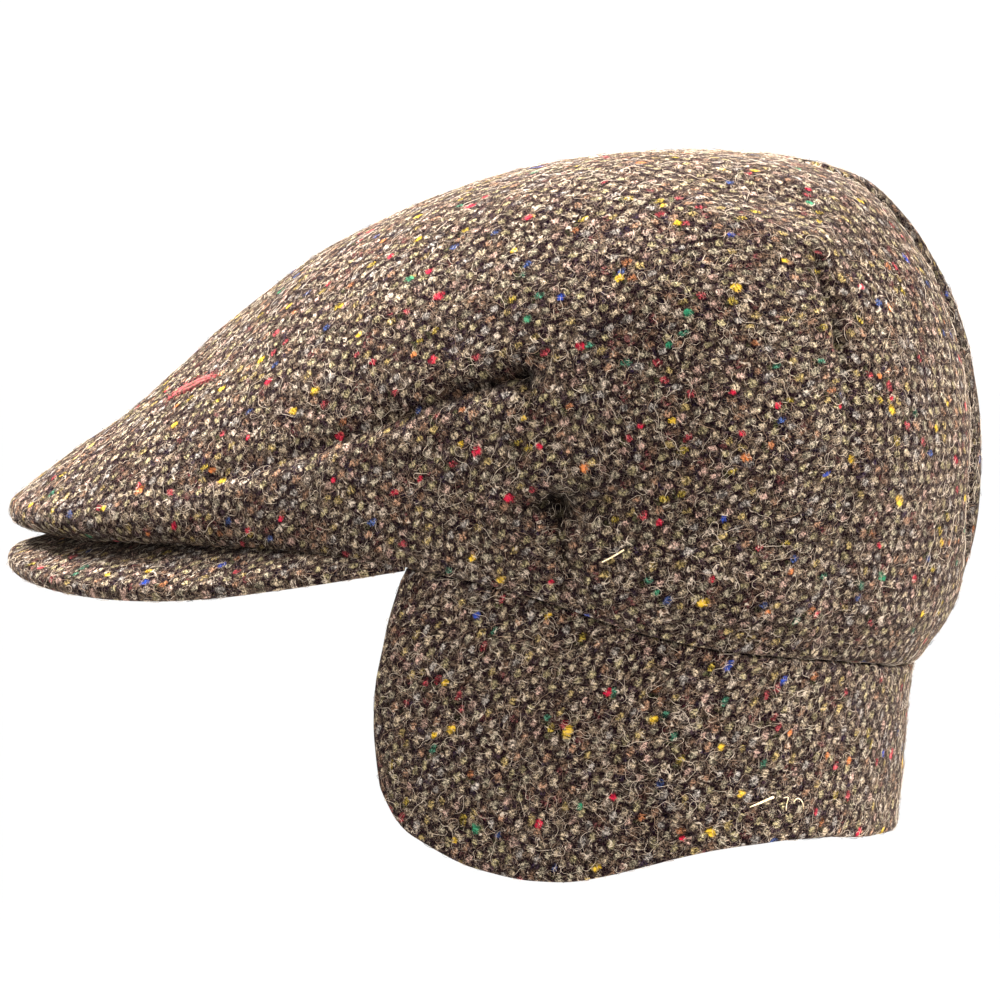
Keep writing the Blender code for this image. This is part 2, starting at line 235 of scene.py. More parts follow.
# The hem is lifted clear of the peak forward of this distance behind the peak's corners, and below this level
HEM_CLEAR_BEHIND = 0.004
HEM_CLEAR_LEVEL = 1.6


def clear_of_peak(points, level):
    """Lifts the crown's folded-under hem where it would cut into the peak."""
    x, y = points[..., 0], points[..., 1]
    rest = peak_mid(x, y) + PEAK_BOARD / 2 * np.hypot(1, PEAK_SLOPE) + 2 * GAP
    over = (y < PEAK_CORNER_Y + HEM_CLEAR_BEHIND) & (level < HEM_CLEAR_LEVEL)
    points[..., 2] = np.where(over, np.maximum(points[..., 2], rest), points[..., 2])
    return points


def unit(vectors):
    """Vectors brought to a length of 1."""
    return vectors / np.maximum(np.linalg.norm(vectors, axis=-1, keepdims=True), 1e-12)


def crossed(a, b):
    """Size and turn of the parallelogram between flat vectors."""
    return a[..., 0] * b[..., 1] - a[..., 1] * b[..., 0]


def grid_normals(points, closed):
    """Unit normals of a grid of rows by columns."""
    along = np.gradient(points, axis=0)
    if closed:
        round_ = np.roll(points, -1, axis=1) - np.roll(points, 1, axis=1)
    else:
        round_ = np.gradient(points, axis=1)
    return unit(np.cross(round_, along))


FOLD_STEPS = 12  # straight steps that a fold's line is measured in
SIDE_FADE = 1.5  # millimetres in which a fold of one side alone fades out at the middle


def fold_depth(points, fold):
    """How far a fold presses each point in, in metres."""
    _, a0, s0, a1, s1, start, end, width, shape, side = fold
    share = np.linspace(0, 1, FOLD_STEPS + 1)
    spine = crown_base(np.radians(a0 + (a1 - a0) * share), s0 + (s1 - s0) * share)
    left = points.copy()
    if side == 0:
        left[..., 0] = np.abs(left[..., 0])
    nearest = np.full(points.shape[:-1], np.inf)
    along = np.zeros(points.shape[:-1])
    for i, (p, q) in enumerate(zip(spine[:-1], spine[1:])):
        way = q - p
        t = np.clip(((left - p) @ way) / (way @ way), 0, 1)
        gap = np.linalg.norm(left - p - t[..., None] * way, axis=-1)
        closer = gap < nearest
        nearest = np.where(closer, gap, nearest)
        along = np.where(closer, (i + t) / FOLD_STEPS, along)
    depth = start + (end - start) * along
    if side != 0:
        depth = depth * np.clip(0.5 + side * points[..., 0] / (MM * SIDE_FADE), 0, 1)
    return MM * depth * np.exp(-((nearest / (MM * width)) ** shape))


# Gentle unevenness of the cloth: sizes and heights of its bumps, in metres
CROWN_BUMPS = ((0.030, 0.0007), (0.012, 0.00035))
PEAK_BUMPS = ((0.022, 0.0003),)
FLAP_BUMPS = ((0.028, 0.0006), (0.011, 0.0003))


def with_bumps(depth, points, bumps):
    """Adds bumps to a depth at each point."""
    for i, (size, height) in enumerate(bumps):
        lift = np.array([noise.noise(Vector(p)) for p in (points + i).reshape(-1, 3) / size])
        depth = depth + height * lift.reshape(points.shape[:-1])
    return depth


def stations(stops, counts):
    """Values that run from stop to stop with the given numbers of steps."""
    parts = [np.linspace(a, b, n, endpoint=False) for a, b, n in zip(stops[:-1], stops[1:], counts)]
    return np.concatenate(parts + [stops[-1:]])


def grid_faces(rows, columns, first=0, closed=False, flip=False):
    """Four-sided faces of a grid of points numbered row by row, as an array."""
    i, j = np.meshgrid(np.arange(rows - 1), np.arange(columns if closed else columns - 1), indexing="ij")
    i, j = i.ravel() * columns, j.ravel()
    k = (j + 1) % columns
    faces = first + np.stack([i + j, i + k, i + columns + k, i + columns + j], 1)
    return faces[:, ::-1] if flip else faces


def added(name, data):
    """A new object in the scene."""
    ob = bpy.data.objects.new(name, data)
    bpy.context.collection.objects.link(ob)
    return ob


def numbers(items, key, width, kind=np.float32):
    """One property of all items of a mesh, a row for each."""
    got = np.empty(width * len(items), kind)
    items.foreach_get(key, got)
    return got.reshape(-1, width)


def make_piece(name, points, faces, flat=None, painted_fold_shade=None, spread=None):
    """A smooth mesh. Flat gives each corner of each face in turn its place on the flat cloth, in millimetres,
    and spread gives it one where no two faces overlap."""
    mesh = bpy.data.meshes.new(name)
    mesh.from_pydata(points.tolist(), [], [list(map(int, f)) for f in faces])
    if flat is not None:
        mesh.uv_layers.new(name=CLOTH_MAP).data.foreach_set("uv", np.ravel(flat).astype(np.float32))
    if spread is not None:
        low = spread.min(0)
        spread = MAP_MARGIN + (1 - 2 * MAP_MARGIN) * (spread - low) / (spread - low).max()
        mesh.uv_layers.new(name=BAKE_MAP).data.foreach_set("uv", np.ravel(spread).astype(np.float32))
    # The strength of the painted shade in folds, for the material to darken its colour with
    if painted_fold_shade is not None:
        shade = mesh.attributes.new(FOLD_SHADE, "FLOAT", "POINT")
        shade.data.foreach_set("value", painted_fold_shade.astype(np.float32))
    mesh.validate()
    mesh.shade_smooth()
    return added(name, mesh)


# The crown's columns and rows. Each count is even, because the flat cloth is worked out on every second line.
CROWN_COLUMNS = ((0, 30, 62, 76, 118, 124, 130, 170, 180), (38, 36, 20, 34, 10, 10, 30, 18))
CROWN_ROWS = ((0, 1, 2, 2.6, 3.2, 3.8, 4.4, 5, 6, APEX), (6, 6, 6, 14, 12, 22, 16, 36, 44))
# Sewn lines that open the crown when it is laid flat: azimuth, and level where the line ends
CUTS = ((180, 6.1), (124, 5.4), (76, 3.0))
# Levels where the folds start to show and show in full, and how far below the top point they fade out
FOLDS_FROM, FOLDS_FULL, FOLDS_END = 0.9, 1.7, 0.15
# Depth at which a sharp fold's painted shade is full
DARK_DEPTH = 2.4  # millimetres of a sharp fold that are as dark as any
INNER_MAP_SCALE = 0.28  # of the inner layer's map beside the outer one's
MAP_GAP = 4  # millimetres of map between the two


def crown_lines():
    """Azimuths and levels of the fine crown."""
    half = stations(np.radians(CROWN_COLUMNS[0]), CROWN_COLUMNS[1])
    return np.concatenate([half, -half[-2:0:-1]]), stations(*CROWN_ROWS)


def crown_surface(azimuths, levels, creased):
    """The crown's outer grid and its normals, smooth or with folds, seams and unevenness."""
    a, s = np.meshgrid(azimuths, levels)
    base = clear_of_peak(crown_base(a, s), s)
    n = grid_normals(base, closed=True)
    n[-1] = 0, 0, 1
    if not creased:
        return base, n
    depth = with_bumps(sum(fold_depth(base, fold) for fold in FOLDS), base, CROWN_BUMPS)
    fade = np.clip((s - FOLDS_FROM) / (FOLDS_FULL - FOLDS_FROM), 0, 1) * np.clip((APEX - s) / FOLDS_END, 0, 1)
    outer = base - n * (depth * fade)[..., None]
    n = grid_normals(outer, closed=True)
    n[-1] = 0, 0, 1
    return outer, n


def capped(grid, first=0, flip=False):
    """Points and faces of one layer of the crown, from a grid whose last row is the top point alone."""
    rows, columns = grid.shape[:2]
    last, top = first + (rows - 2) * columns, first + (rows - 1) * columns
    faces = grid_faces(rows - 1, columns, first, closed=True, flip=flip).tolist()
    tips = [[last + j, last + (j + 1) % columns, top] for j in range(columns)]
    faces += [[b, a, c] for a, b, c in tips] if flip else tips
    return np.concatenate([grid[:-1].reshape(-1, 3), grid[-1, :1]]), faces


def flatten_crown(azimuths, levels):
    """Lays the crown flat, cut open at its seams. Gives the places of each face's corners in millimetres."""
    points, _ = crown_surface(azimuths, levels, creased=False)
    rows, columns = len(levels), len(azimuths)
    points, faces = capped(points)
    ob = make_piece("crown_pattern", points, faces, np.zeros((4 * columns * (rows - 2) + 3 * columns, 2)))
    mesh = ob.data
    degrees = np.round(np.degrees(azimuths), 3)
    cut_columns = {}
    for azimuth, end in CUTS:
        for side in (azimuth, -azimuth):
            hit = np.flatnonzero(np.abs((degrees - side + 180) % 360 - 180) < 0.01)
            cut_columns.update({int(j): end for j in hit})
    for edge in mesh.edges:
        p, q = sorted(edge.vertices)
        j = p % columns
        if q == p + columns and j in cut_columns and levels[q // columns] <= cut_columns[j] + 0.01:
            edge.use_seam = True
    bpy.context.view_layer.objects.active = ob
    ob.select_set(True)
    bpy.ops.object.mode_set(mode="EDIT")
    bpy.ops.mesh.select_all(action="SELECT")
    bpy.ops.uv.unwrap(method="MINIMUM_STRETCH", fill_holes=False, iterations=20)
    bpy.ops.object.mode_set(mode="OBJECT")
    uv = numbers(mesh.uv_layers[CLOTH_MAP].data, "uv", 2).astype(float)
    quads = uv[: 4 * columns * (rows - 2)].reshape(rows - 2, columns, 4, 2)
    tips = uv[4 * columns * (rows - 2) :].reshape(columns, 3, 2)
    tips = np.concatenate([tips, tips[:, 2:]], axis=1)[None]
    corners = np.concatenate([quads, tips])
    # Size, direction and middle: the centre line runs along the second axis, forward being negative
    areas = np.array([p.area for p in mesh.polygons])
    d1, d2 = corners[..., 2, :] - corners[..., 0, :], corners[..., 3, :] - corners[..., 1, :]
    flat_area = np.abs(crossed(d1, d2)).sum() / 2
    scale = math.sqrt(areas.sum() / flat_area) / MM
    apex, front = corners[-1, 0, 2], corners[rows // 2, 0, 0]
    way = unit(front - apex)
    turn = np.array([[-way[1], -way[0]], [way[0], -way[1]]])
    corners = (corners - apex) @ turn * scale
    bpy.data.objects.remove(ob, do_unlink=True)
    return corners


def crown_flat():
    """Places on the flat cloth for the corners of the fine crown's faces, rows by columns by four by two."""
    azimuths, levels = crown_lines()
    coarse = flatten_crown(azimuths[::2], levels[::2])
    rows, columns = len(levels) - 1, len(azimuths)
    i, j = np.meshgrid(np.arange(rows), np.arange(columns), indexing="ij")
    cell = coarse[i // 2, j // 2]
    places = []
    for di, dj in ((0, 0), (0, 1), (1, 1), (1, 0)):
        s, t = ((i % 2 + di) / 2)[..., None], ((j % 2 + dj) / 2)[..., None]
        low = cell[..., 0, :] * (1 - t) + cell[..., 1, :] * t
        high = cell[..., 3, :] * (1 - t) + cell[..., 2, :] * t
        places.append(low * (1 - s) + high * s)
    return np.stack(places, axis=2)


def make_crown():
    """The crown: a fine outer layer and a plainer inner one. Also gives the inner one's first vertex."""
    azimuths, levels = crown_lines()
    outer, n = crown_surface(azimuths, levels, creased=True)
    inner = (outer - n * CLOTH)[::2, ::2]
    smooth_outer, _ = crown_surface(azimuths, levels, creased=False)
    # Painted shade at the bottoms of sharp folds and seams, full at DARK_DEPTH
    painted_fold_shade = sum(np.maximum(fold_depth(smooth_outer, fold), 0) for fold in FOLDS if fold[8] == 1)
    painted_fold_shade = np.clip(painted_fold_shade / (MM * DARK_DEPTH), 0, 1)
    flat = crown_flat()
    columns, columns_in = outer.shape[1], inner.shape[1]
    points, faces = capped(outer)
    first = len(points)
    points_in, faces_in = capped(inner, first, flip=True)
    points, faces = np.concatenate([points, points_in]), faces + faces_in
    coarse = np.stack(
        [flat[0::2, 0::2, 0], flat[0::2, 1::2, 1], flat[1::2, 1::2, 2], flat[1::2, 0::2, 3]], axis=2
    )
    loops = [flat[:-1], flat[-1, :, :3], coarse[:-1, :, ::-1], coarse[-1][:, [1, 0, 2]]]
    loops = [part.reshape(-1, 2) for part in loops]
    # The inner layer is spread out at a smaller scale beside the outer one
    corner = flat.reshape(-1, 2).min(0)
    beside = corner + (np.ptp(flat[..., 0]) + MAP_GAP, 0)
    spread = loops[:2] + [(part - corner) * INNER_MAP_SCALE + beside for part in loops[2:]]
    for j in range(columns_in):
        a, b, c = 2 * j, 2 * j + 1, (2 * j + 2) % columns
        p, q = first + j, first + (j + 1) % columns_in
        faces += [[b, a, p], [p, q, b], [c, b, q]]
        u, v, w = flat[0, a, 0], flat[0, a, 1], flat[0, b, 1]
        loops.append(np.array([v, u, u, u, w, v, w, v, w]))
        past_u, past_w = u + RIM_STRIP * unit(u - flat[0, a, 3]), w + RIM_STRIP * unit(w - flat[0, b, 2])
        spread.append(np.array([v, u, past_u, past_u, past_w, v, w, v, past_w]))
    shade = np.concatenate([painted_fold_shade[:-1].ravel(), painted_fold_shade[-1, :1], np.zeros(len(points) - first)])
    ob = make_piece("crown_cloth", points, faces, np.concatenate(loops), shade, np.concatenate(spread))
    ob.data.materials.append(tweed("crown_tweed", CROWN_CUT_AT))
    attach(ob, "root")
    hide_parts("crown")
    return ob, first


EDGE_SHARE = 0.02  # of the full thickness, left right at an edge


def rounded(distance, radius):
    """Share of full thickness at a distance from a rounded edge."""
    t = np.clip(distance / radius, 0, 1)
    return EDGE_SHARE + (1 - EDGE_SHARE) * np.sqrt(1 - (1 - t) ** 2)


def crescent(half_width, reach, bluntness, bearing):
    """A point of the peak's inner or outer edge in the direction of bearing, 0 being the front."""
    c, s = np.cos(bearing), np.sin(bearing)
    r = (np.abs(s / half_width) ** bluntness + np.abs(c / reach) ** bluntness) ** (-1 / bluntness)
    return np.stack([r * s, PEAK_CORNER_Y - r * c], axis=-1)


def shell(name, lower, upper, flat_lower, flat_upper):
    """A piece between two grids of one size, closed round their common border."""
    rows, columns = lower.shape[:2]
    first = rows * columns
    points = np.concatenate([lower.reshape(-1, 3), upper.reshape(-1, 3)])
    places = np.concatenate([flat_lower.reshape(-1, 2), flat_upper.reshape(-1, 2)])
    index = np.arange(first).reshape(rows, columns)
    ring = np.concatenate([index[0], index[1:, -1], index[-1, -2::-1], index[-2:0:-1, 0]])
    after = np.roll(ring, -1)
    rim = np.stack([after, ring, first + ring, first + after], 1)
    faces = np.concatenate([grid_faces(rows, columns), grid_faces(rows, columns, first, flip=True), rim])
    # For the bake the lower grid lies below the upper one, and the border is a strip round the upper one
    shift = np.array((0, np.ptp(places[:, 1]) + 4 * RIM_STRIP))
    spread = np.concatenate([places[:first] - shift, places[first:]])
    rounds = places[first + ring]
    way = unit((np.roll(rounds, -1, 0) - np.roll(rounds, 1, 0))[:, ::-1] * (1, -1))
    turning = crossed(rounds, np.roll(rounds, -1, 0)).sum()
    past = rounds + RIM_STRIP * way * np.sign(turning)
    strip = np.stack([np.roll(past, -1, 0), past, rounds, np.roll(rounds, -1, 0)], 1).reshape(-1, 2)
    spread = np.concatenate([spread[faces[: -len(ring)].ravel()], strip])
    ob = make_piece(name, points, faces, places[faces.ravel()], None, spread)
    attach(ob, "root")
    return ob


def declare_cloth(ob):
    """Works out one layer's area of the flat cloth that a piece of two layers was cut from, and keeps nothing
    of it.
    """
    mesh = ob.data
    mesh.calc_loop_triangles()
    corners = numbers(mesh.loop_triangles, "loops", 3, np.int32)
    places = MM * numbers(mesh.uv_layers[CLOTH_MAP].data, "uv", 2).astype(float)
    a, b, c = (places[corners[:, k]] for k in range(3))
    area = np.abs(crossed(b - a, c - a)).sum() / 2 / 2


def run_length(points, axis):
    """Length along a grid's lines up to each point."""
    step = np.linalg.norm(np.diff(points, axis=axis), axis=-1)
    pad = [(0, 0), (0, 0)]
    pad[axis] = (1, 0)
    return np.cumsum(np.pad(step, pad), axis=axis)


# The peak's columns by bearing, and its rows by their share of the way from the inner edge to the outer one
PEAK_COLUMNS = ((-89.4, -80, -30, 30, 80, 89.4), (24, 70, 70, 70, 24))
PEAK_ROWS = ((0, 0.03, 0.93, 0.98, 1.0), (4, 38, 6, 8))
# Where each piece lies on the endless cloth, in millimetres, so that no two have the same flecks
CROWN_CUT_AT, PEAK_CUT_AT, FLAP_CUT_AT = (0.0, 0.0), (411.0, 173.0), (907.0, -351.0)


def make_peak():
    """The stiff peak, covered with the same cloth above and below."""
    bearing = np.radians(stations(*PEAK_COLUMNS))
    across = stations(*PEAK_ROWS)
    near = crescent(PEAK_INNER_HALF_WIDTH, PEAK_INNER_REACH, PEAK_INNER_BLUNTNESS, bearing)
    far = crescent(PEAK_HALF_WIDTH, PEAK_REACH, PEAK_BLUNTNESS, bearing)
    plan = near + (far - near) * across[:, None, None]
    width = np.linalg.norm(far - near, axis=-1)
    to_edge = width * np.minimum(1 - across, across)[:, None]
    ends = np.linalg.norm(plan - plan[:, -1:], axis=-1)
    ends = np.minimum(ends, np.linalg.norm(plan - plan[:, :1], axis=-1))
    corner = np.clip((plan[..., 1] - PEAK_CORNER_Y) / PEAK_CORNER_LENGTH + 1, 0, 1) ** 2
    board = PEAK_BOARD * (1 - PEAK_CORNER_THINNING * corner)
    half = board / 2 * rounded(np.minimum(to_edge, ends), PEAK_BOARD / 2)
    mid = np.dstack([plan, peak_mid(plan[..., 0], plan[..., 1]) + PEAK_CORNER_LIFT * corner])
    n = grid_normals(mid, closed=False)
    n *= np.sign(n[..., 2:3])
    uneven = with_bumps(0, mid, PEAK_BUMPS)
    upper = mid + n * (half + uneven * (half > PEAK_BOARD / 4))[..., None]
    lower = mid - n * half[..., None]
    way = (far - near) / width[:, None]
    flat = [(near + way * run_length(side, 0)[..., None]) / MM for side in (lower, upper)]
    ob = shell("peak_cover", lower, upper, flat[0], flat[1])
    ob.data.materials.append(tweed("peak_tweed", PEAK_CUT_AT))
    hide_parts("peak")
    return ob


# The flap's columns by their share of the way from its front edge to the nape, and its rows by their share of
# the way down
FLAP_COLUMNS = ((0, 0.012, 0.05, 1.0), (7, 8, 136))
FLAP_ROWS = ((0.06, 0.9, 0.985, 1.0), (40, 6, 6))
# The rows above those: kind, and height over the rim
TONGUE_ROWS = [("top", TONGUE_RISE), ("root", 0.0), ("narrow", -0.0003), ("wide", -0.0012)]
TONGUE_CLEAR = 0.0001
FLAP_PROUD = 0.0008  # how far the flap's face stands out from the crown's fold
NARROW_SHARE = 0.75  # of the way out from inside the rim to the flap's face


def flap_surface():
    """The flap's outer and inner grids and the height of each of their points."""
    share = stations(*FLAP_COLUMNS)
    share = np.concatenate([share - 1, 1 - share[-2::-1]])
    side = np.where(share < 0, 1.0, -1.0)
    nodes = np.radians(FLAP_LOWER["azimuth"])
    on_edge = np.pi - (np.pi - nodes[0]) * np.abs(share)
    lower = MM * spline(on_edge, nodes, FLAP_LOWER["height_mm"], level=False)
    rows_out, rows_in, heights = [], [], []
    for kind, value in TONGUE_ROWS + [("body", down) for down in stations(*FLAP_ROWS)]:
        d = value if kind == "body" else 0.0
        edge = np.radians(spline(d, FLAP_FRONT["down"], FLAP_FRONT["azimuth"], level=False))
        a = np.pi - (np.pi - edge) * np.abs(share)
        reach, rise = level_lines(a)
        rim = np.minimum(rise[0], rise[1])
        inside, flush = reach[0] - GAP - TONGUE_CLEAR, reach[1] + FLAP_PROUD
        z = rim + (lower - rim) * d if kind == "body" else rim + value
        narrow = inside + (flush - inside) * NARROW_SHARE
        r = {"top": inside - TONGUE_LEAN, "root": inside, "narrow": narrow}.get(kind, flush)
        r = r - FLAP_TAPER * np.maximum(rim - z, 0)
        thick = FLAP_CLOTH if kind in ("wide", "body") else TONGUE_CLOTH
        drop = (rim - lower) * (1 - d)
        end = (1 - np.abs(share)) * (np.pi - edge) * r
        half = thick * rounded(np.minimum(drop, end), FLAP_CLOTH / 2)
        mid = r - thick / 2
        for rows, sign in ((rows_out, 1), (rows_in, -1)):
            q = mid + sign * half / 2
            rows.append(np.stack([side * q * np.sin(a), POLE_Y - q * np.cos(a), z], axis=-1))
        heights.append(z)
    return np.array(rows_out), np.array(rows_in), np.array(heights)


# How far the flap's yarns lean from level and upright, forward of the ear and at the nape
FLAP_LEAN_EAR = math.radians(-22)
FLAP_LEAN_NAPE = math.radians(-3)
LEAN_TURNS_IN = 25  # millimetres from the middle in which the lean starts
LEAN_FULL_AT = 0.6  # share of the way to the front edge


def flap_flat(run, heights):
    """Places of the flap's points on its flat cloth, in millimetres, both halves laid out from the back."""
    middle = len(run) // 2
    run = (run - run[middle]) / MM
    share = np.clip(np.abs(run) / (-LEAN_FULL_AT * run[0]), 0, 1)
    lean = FLAP_LEAN_NAPE + (FLAP_LEAN_EAR - FLAP_LEAN_NAPE) * share
    lean *= -np.clip(run / LEAN_TURNS_IN, -1, 1)
    step, between = np.diff(run), (lean[1:] + lean[:-1]) / 2
    level = np.stack([np.cos(between), -np.sin(between)], 1) * step[:, None]
    level = np.concatenate([np.zeros((1, 2)), np.cumsum(level, 0)])
    level -= level[middle]
    upright = np.stack([np.sin(lean), np.cos(lean)], 1)
    return level + heights[..., None] / MM * upright


def make_flap():
    """The band over ears and neck."""
    outer, inner, heights = flap_surface()
    n = grid_normals(outer, closed=False)
    swell = with_bumps(0, outer, FLAP_BUMPS)
    swell[: len(TONGUE_ROWS)] = 0
    outer = outer + n * swell[..., None]
    inner = inner + n * swell[..., None]
    run = run_length(outer[len(outer) // 2][None], 1)[0]
    flat = flap_flat(run, heights)
    ob = shell("flap_cloth", inner, outer, flat, flat)
    ob.data.materials.append(tweed("flap_tweed", FLAP_CUT_AT))
    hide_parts("flap")
    return ob, (float(run[-1]), float(np.ptp(heights)))


def operator(operation, reflected=False):
    """An operator of a Value, which adds a Math node. The reflected form has the value on its right."""
    return lambda value, other: value.maths(operation, *((other, value) if reflected else (value, other)))


class Value:
    """One output in a material's nodes. Arithmetic on it adds Math nodes."""

    def __init__(self, finish, socket):
        self.finish, self.socket = finish, socket

    def maths(self, operation, *terms):
        return self.finish.node("ShaderNodeMath", {"operation": operation}, dict(enumerate(terms)))[0]

    def __abs__(self):
        return self.maths("ABSOLUTE", self)

    def or_more(self, other):
        """The larger of two values."""
        return self.maths("MAXIMUM", self, other)

    __add__ = __radd__ = operator("ADD")
    __mul__ = __rmul__ = operator("MULTIPLY")
    __sub__, __rsub__ = operator("SUBTRACT"), operator("SUBTRACT", reflected=True)
    __truediv__, __rtruediv__ = operator("DIVIDE"), operator("DIVIDE", reflected=True)
    __gt__, __lt__ = operator("GREATER_THAN"), operator("LESS_THAN")


class Outputs:
    """A node's outputs by name or number."""

    def __init__(self, finish, node):
        self.finish, self.made = finish, node

    def __getitem__(self, key):
        return Value(self.finish, self.made.outputs[key])


class Finish:
    """A material and the means to add nodes to it."""

    def __init__(self, name):
        self.material = bpy.data.materials.new(name)
        self.material.use_nodes = True
        self.tree = self.material.node_tree
        self.shader = self.tree.nodes["Principled BSDF"]

    def node(self, kind, settings, inputs):
        """Adds a node. Settings are set first, then each input gets a number, a tuple or a link."""
        made = self.tree.nodes.new(kind)
        for key, value in settings.items():
            if key == "stops":
                self.set_stops(made.color_ramp, value)
            else:
                setattr(made, key, value)
        for key, value in inputs.items():
            if isinstance(value, Value):
                self.tree.links.new(value.socket, made.inputs[key])
            else:
                made.inputs[key].default_value = value
        return Outputs(self, made)

    def vector(self, operation, a, b):
        return self.node("ShaderNodeVectorMath", {"operation": operation}, {0: a, 1: b})[0]

    def parts(self, vector):
        got = self.node("ShaderNodeSeparateXYZ", {}, {0: vector})
        return got[0], got[1], got[2]

    def joined(self, x, y):
        return self.node("ShaderNodeCombineXYZ", {}, {0: x, 1: y})[0]

    def mix(self, share, a, b, blend="MIX"):
        """Colour a where share is 0 and b where it is 1."""
        settings = {"data_type": "RGBA", "blend_type": blend, "clamp_factor": True}
        return self.node("ShaderNodeMix", settings, {0: share, 6: a, 7: b})[2]

    def smooth(self, value, low, high):
        """0 below low and 1 above high, or the other way round, with a smooth step between."""
        settings = {"interpolation_type": "SMOOTHSTEP", "clamp": True}
        return self.node("ShaderNodeMapRange", settings, {0: value, 1: low, 2: high, 3: 0.0, 4: 1.0})[0]

    def grain(self, vector, scale, detail=2.0, roughness=0.5, distortion=0.0):
        """Noise in two dimensions."""
        inputs = {"Scale": scale, "Detail": detail, "Roughness": roughness, "Distortion": distortion}
        return self.node("ShaderNodeTexNoise", {"noise_dimensions": "2D"}, {"Vector": vector, **inputs})

    def ovals(self, at, randomness, across, along, turned=True):
        """Scattered ovals, one to a unit square, and at 45 degrees to the squares where turned is true. Gives
        three random values for each, then how far a place is from its middle, squared. Across and along are
        one over its half sizes."""
        inputs = {"Vector": at, "Scale": 1.0, "Randomness": randomness}
        cell = self.node("ShaderNodeTexVoronoi", {"voronoi_dimensions": "2D", "feature": "F1"}, inputs)
        x, y, _ = self.parts(self.vector("SUBTRACT", at, cell["Position"]))
        if turned:
            x, y = x - y, x + y
        x, y = x * across, y * along
        return *self.parts(cell["Color"]), x * x + y * y

    def set_stops(self, ramp, stops):
        """Gives a ramp its stepped stops, each a place and a colour."""
        ramp.interpolation = "CONSTANT"
        for i, (place, colour) in enumerate(stops):
            stop = ramp.elements[i] if i < 2 else ramp.elements.new(place)
            stop.position, stop.color = place, colour

    def palette(self, share, colours):
        """Picks one of the colours, each (share of the range, red, green, blue)."""
        starts = np.cumsum([0.0] + [row[0] for row in colours[:-1]]).tolist()
        stops = [(start, (*row[1:], 1)) for start, row in zip(starts, colours)]
        return self.node("ShaderNodeValToRGB", {"stops": stops}, {0: share})[0]

    def darkened(self, colour, value):
        """A colour multiplied by a brightness."""
        grey = self.node("ShaderNodeCombineColor", {}, {0: value, 1: value, 2: value})[0]
        return self.mix(1.0, colour, grey, "MULTIPLY")

    def fibre_lines(self, at, scale, width, distortion):
        """Fine curling lines, 1 on the line and 0 away from it: where noise crosses its middle value."""
        wave = self.grain(at, scale, 1.0, 0.45, distortion)["Fac"]
        return self.smooth(abs(wave - 0.5), width, 0.0)

    def end(self, fixed, colour=None, normal=None):
        """Sets the shader's fixed values, joins colour and normal to it, and gives the material."""
        for key, value in fixed.items():
            self.shader.inputs[key].default_value = value
        for key, value in (("Base Color", colour), ("Normal", normal)):
            if value is not None:
                self.tree.links.new(value.socket, self.shader.inputs[key])
        return self.material


# The weave, in millimetres
CELL = 2.58  # from thread to thread
NUB_HALF_LENGTH = 1.30
NUB_HALF_WIDTH = 0.90
UNDER_HALF_LENGTH = 1.5
UNDER_HALF_WIDTH = 0.85
FLECK_SPACING = 15.0
FLECK_HALF_LENGTH = 1.45
FLECK_HALF_WIDTH = 1.1
WANDER = 2.2  # how far the threads stray in long waves
RAGGED = 1.1  # and how ragged their edges are

# Share of the nubs, then linear colour
YARN_COLOURS = (
    (0.209, 0.54, 0.41, 0.27),
    (0.17, 0.46, 0.37, 0.20),
    (0.12, 0.44, 0.365, 0.25),
    (0.09, 0.57, 0.36, 0.28),
    (0.10, 0.44, 0.38, 0.33),
    (0.08, 0.44, 0.245, 0.15),
    (0.05, 0.60, 0.47, 0.36),
    (0.05, 0.50, 0.355, 0.14),
    (0.07, 0.24, 0.14, 0.09),
    (0.020, 0.42, 0.060, 0.070),
    (0.015, 0.50, 0.35, 0.060),
    (0.007, 0.07, 0.11, 0.28),
    (0.009, 0.07, 0.21, 0.13),
    (0.010, 0.46, 0.18, 0.08),
)
# The darker yarn between the nubs
UNDER_COLOURS = (
    (0.36, 0.034, 0.018, 0.024),
    (0.20, 0.110, 0.072, 0.048),
    (0.18, 0.022, 0.013, 0.026),
    (0.12, 0.170, 0.118, 0.078),
    (0.08, 0.120, 0.036, 0.036),
    (0.06, 0.055, 0.054, 0.024),
)
FLECK_COLOURS = (
    (0.34, 0.46, 0.014, 0.040),
    (0.30, 0.62, 0.38, 0.030),
    (0.14, 0.02, 0.050, 0.26),
    (0.10, 0.03, 0.20, 0.10),
    (0.12, 0.55, 0.17, 0.05),
)
DARK_YARN = (0.007, 0.0025, 0.004, 1)
TAN_HAIR = (0.27, 0.185, 0.125, 1)
PALE_HAIR = (0.58, 0.47, 0.36, 1)


